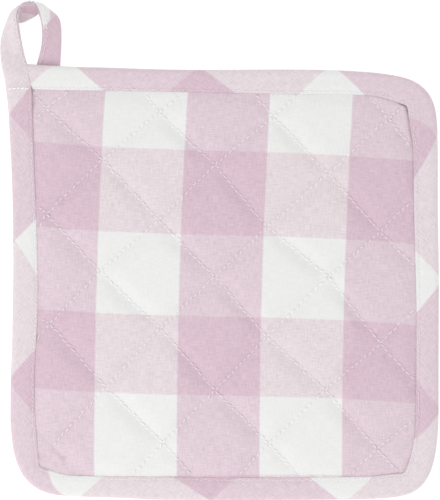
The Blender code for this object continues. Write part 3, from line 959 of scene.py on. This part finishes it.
def stitches(row):
    """Points and faces of one short arched tube of thread between every two needle holes."""
    number = (len(row.holes) - 1, 1)
    gap = np.diff(row.holes, axis=0) * ((1 - STITCH_SHARE) / 2)
    starts = row.holes[:-1] + gap * chance.uniform(*GAPS, number)
    ends = row.holes[1:] - gap * chance.uniform(*GAPS, number)
    ups = unit(row.ups[:-1] + row.ups[1:])
    side = unit(np.cross(ups, ends - starts))
    starts = starts + side * (chance.normal(0, WOBBLE, number) - SLANT)
    ends = ends + side * (chance.normal(0, WOBBLE, number) + SLANT)
    lift = np.cross(unit(ends - starts), side)
    thickness = row.radius * chance.uniform(*THICKNESSES, number)
    fullness = chance.uniform(*FULLNESSES, number)
    rings = []
    for share, height in zip(STITCH_STEPS, row.arch):
        middle = starts + (ends - starts) * share + ups * (height * fullness)
        radius = thickness * (END_TAPER if share in (0.0, 1.0) else 1.0)
        for k in range(THREAD_SIDES):
            angle = 2 * pi * k / THREAD_SIDES
            rings.append(middle + side * radius * np.cos(angle) + lift * radius * np.sin(angle))
    points = np.stack(rings, axis=1)
    count = points.shape[1]
    base = (np.arange(len(points)) * count)[:, None]
    found = []
    for low in range(0, count - THREAD_SIDES, THREAD_SIDES):
        for k in range(THREAD_SIDES):
            after = (k + 1) % THREAD_SIDES
            high = low + THREAD_SIDES
            found += (base + (low + k, high + k, high + after, low + after)).tolist()
    found += (base + np.arange(THREAD_SIDES)).tolist()
    found += (base + count - 1 - np.arange(THREAD_SIDES)).tolist()
    return points.reshape(-1, 3), found


def sewn(name, rows, material):
    """One piece of thread from several rows of stitches."""
    points, found, widths, total = [], [], [], 0
    for row in rows:
        if len(row.holes) > 1:
            some, some_faces = stitches(row)
            points.append(some)
            found += [[corner + total for corner in face] for face in some_faces]
            total += len(some)
            if row.measures is not None:
                widths.append(np.repeat(row.measures[:-1], len(some) // (len(row.holes) - 1), axis=0))
    widths = np.concatenate(widths) if widths else None
    points = np.concatenate(points)
    points[:, 2] = np.maximum(points[:, 2], 0)  # the table presses the lowest ones flat
    made = cloth_mesh(name, points, found, material, widths)
    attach(made, "root")
    return made


def thread_over(name, check=None):
    material, shader, cloth = new_cloth(name)
    place = cloth.node("ShaderNodeTexCoord", {}, {}, "Object")
    twist = cloth.node("ShaderNodeTexNoise", {}, {"Vector": place, "Scale": 900.0, "Detail": 1.0})
    colour = twist.blend(THREAD_SHADE, THREAD_COLOUR)
    if check:
        mixed = {0: THREAD_COVER, 6: gingham(*check(cloth)[2:]), 7: colour}
        colour = cloth.node("ShaderNodeMix", {"data_type": "RGBA"}, mixed, 2)
    cloth.feed(shader.inputs["Base Color"], colour)
    return material


# The quilting's needle holes: every second cell of the cloth along each sewn line
up_vector, down_vector = np.array((0, 0, 1.0)), np.array((0, 0, -1.0))
quilting = []
for grid, step, facing, arch in (
    (fine_front, 4, up_vector, QUILT_ARCH), (grid_of(back, on_cloth), 2, down_vector, BACK_ARCH)
):
    for lines, sunk in ((grid, FALLING_SUNK), (grid.transpose(1, 0, 2), RISING_SUNK)):
        for line in range(0, lines.shape[1], CELLS * step // 2):
            holes = lines[::step, line]
            holes = holes[np.isfinite(holes[:, 0])]
            if len(holes):
                holes = holes[inset(holes[:, :2]) > HIDDEN_INSET] - facing * sunk
                x, y, z = holes.T
                swallowed = (x < PUCKER_RIGHT) & (y < LAST_CROSSING[1])
                swallowed |= (x < LAST_CROSSING[0]) & (y < PUCKER_TOP)
                holes = holes[(z < MID_HEIGHT) | ~swallowed]
                ups = np.broadcast_to(facing, holes.shape)
                quilting.append(Stitching(holes, ups, arch, QUILTING_RADIUS))
quilting_thread = sewn("quilting_stitches", quilting, thread_over("quilting_thread", panel_check))

# The tape's rows: front and back at the same inset, from past its hidden start to its tail
first_hole = stitch_run[np.argmax(hem[:, 0] > TAPE_ROW_FROM_X)]
holes_at = np.arange(first_hole, stitch_run[-1], TAPE_PITCH)
tape_rows = []
for column in (fold_column - STITCH_COLUMN, fold_column + STITCH_COLUMN):
    outwards = skin[:, column]
    line = sheet[:, column] + outwards * CLOTH_THICKNESS / 2
    holes, ups, below = (
        resampled(table, stitch_run, holes_at) for table in (line, outwards, cut_cloth[:, column])
    )
    tape_rows.append(Stitching(holes, ups, TAPE_ARCH, TAPE_RADIUS, below))
    tacked = norm(holes[:, :2] - TACKED, axis=1) < TACKED_REACH
    tacked &= holes[:, 1] > TACKED_ABOVE
    again = holes[tacked] + TACKED_BESIDE
    tape_rows.append(Stitching(again, ups[tacked], TAPE_ARCH, THREAD_RADIUS, below[tacked]))
tape_thread = sewn("tape_stitches", tape_rows, thread_over("tape_thread", tape_check))

# The short row across the tape, where it leaves the panel as the loop
off_row = np.where(past < -NEAR_LEAVING, np.inf, abs(middle_line[:, 1] - CROSS_ROW_Y))
station = np.argmin(off_row)
line = (sheet + skin * CLOTH_THICKNESS / 2)[station, fold_column - STITCH_COLUMN : fold_column - 1]
across_run = run_along(line)
holes = resampled(line, across_run, np.arange(CROSS_START, across_run[-1], CROSS_PITCH))
ups = np.broadcast_to(up_vector, holes.shape)
tacking = Stitching(holes, ups, QUILT_ARCH, TACKING_RADIUS)
tacking_thread = sewn("tacking_stitches", [tacking], thread_over("tacking_thread"))

# --------------------------------------------------------------
# The studio: a white table, a big soft light from the lower left, and a camera straight above.
PIXEL = 0.4684 * MM  # one picture element on the cloth
FRAME_HEIGHT = 500  # the longer side of the frame, which the sensor takes in
LENS, SENSOR = 135, 36
WHITE_TABLE = {
    "Base Color": (0.5, 0.5, 0.5, 1), "Roughness": 1.0, "Specular IOR Level": 0.0,
    "Emission Color": (1, 1, 1, 1), "Emission Strength": 0.65,
}
ROOM_LIGHT = {"Color": (1, 1, 1, 1), "Strength": 0.97}
KEY_PLACE, KEY_SIZE, KEY_POWER = (-0.65, -0.65, 0.7), 0.5, 3.1
distance = PIXEL * FRAME_HEIGHT * LENS / SENSOR
camera_data = bpy.data.cameras.new("camera")
camera_data.lens, camera_data.sensor_width = LENS, SENSOR
camera_data.clip_start, camera_data.clip_end = 0.01, 10
camera = placed("camera", camera_data)
camera.location = (0, 0, distance + MID_HEIGHT * MM)
scene.camera = camera

bpy.ops.object.select_all(action="DESELECT")
bpy.ops.mesh.primitive_plane_add(size=3, location=(0, 0, 0))
table = bpy.context.active_object
table.name = "white_table"
table.data.materials.append(new_material("white_table", WHITE_TABLE)[0])

world = bpy.data.worlds.new("studio")
world.use_nodes = True
for socket, value in ROOM_LIGHT.items():
    world.node_tree.nodes["Background"].inputs[socket].default_value = value
scene.world = world

key_data = bpy.data.lights.new("key", "AREA")
key_data.size, key_data.energy = KEY_SIZE, KEY_POWER
key_light = placed("key", key_data)
key_light.location = KEY_PLACE
key_light.rotation_euler = (-key_light.location).to_track_quat("-Z", "Y").to_euler()
scene.view_settings.view_transform = "Standard"
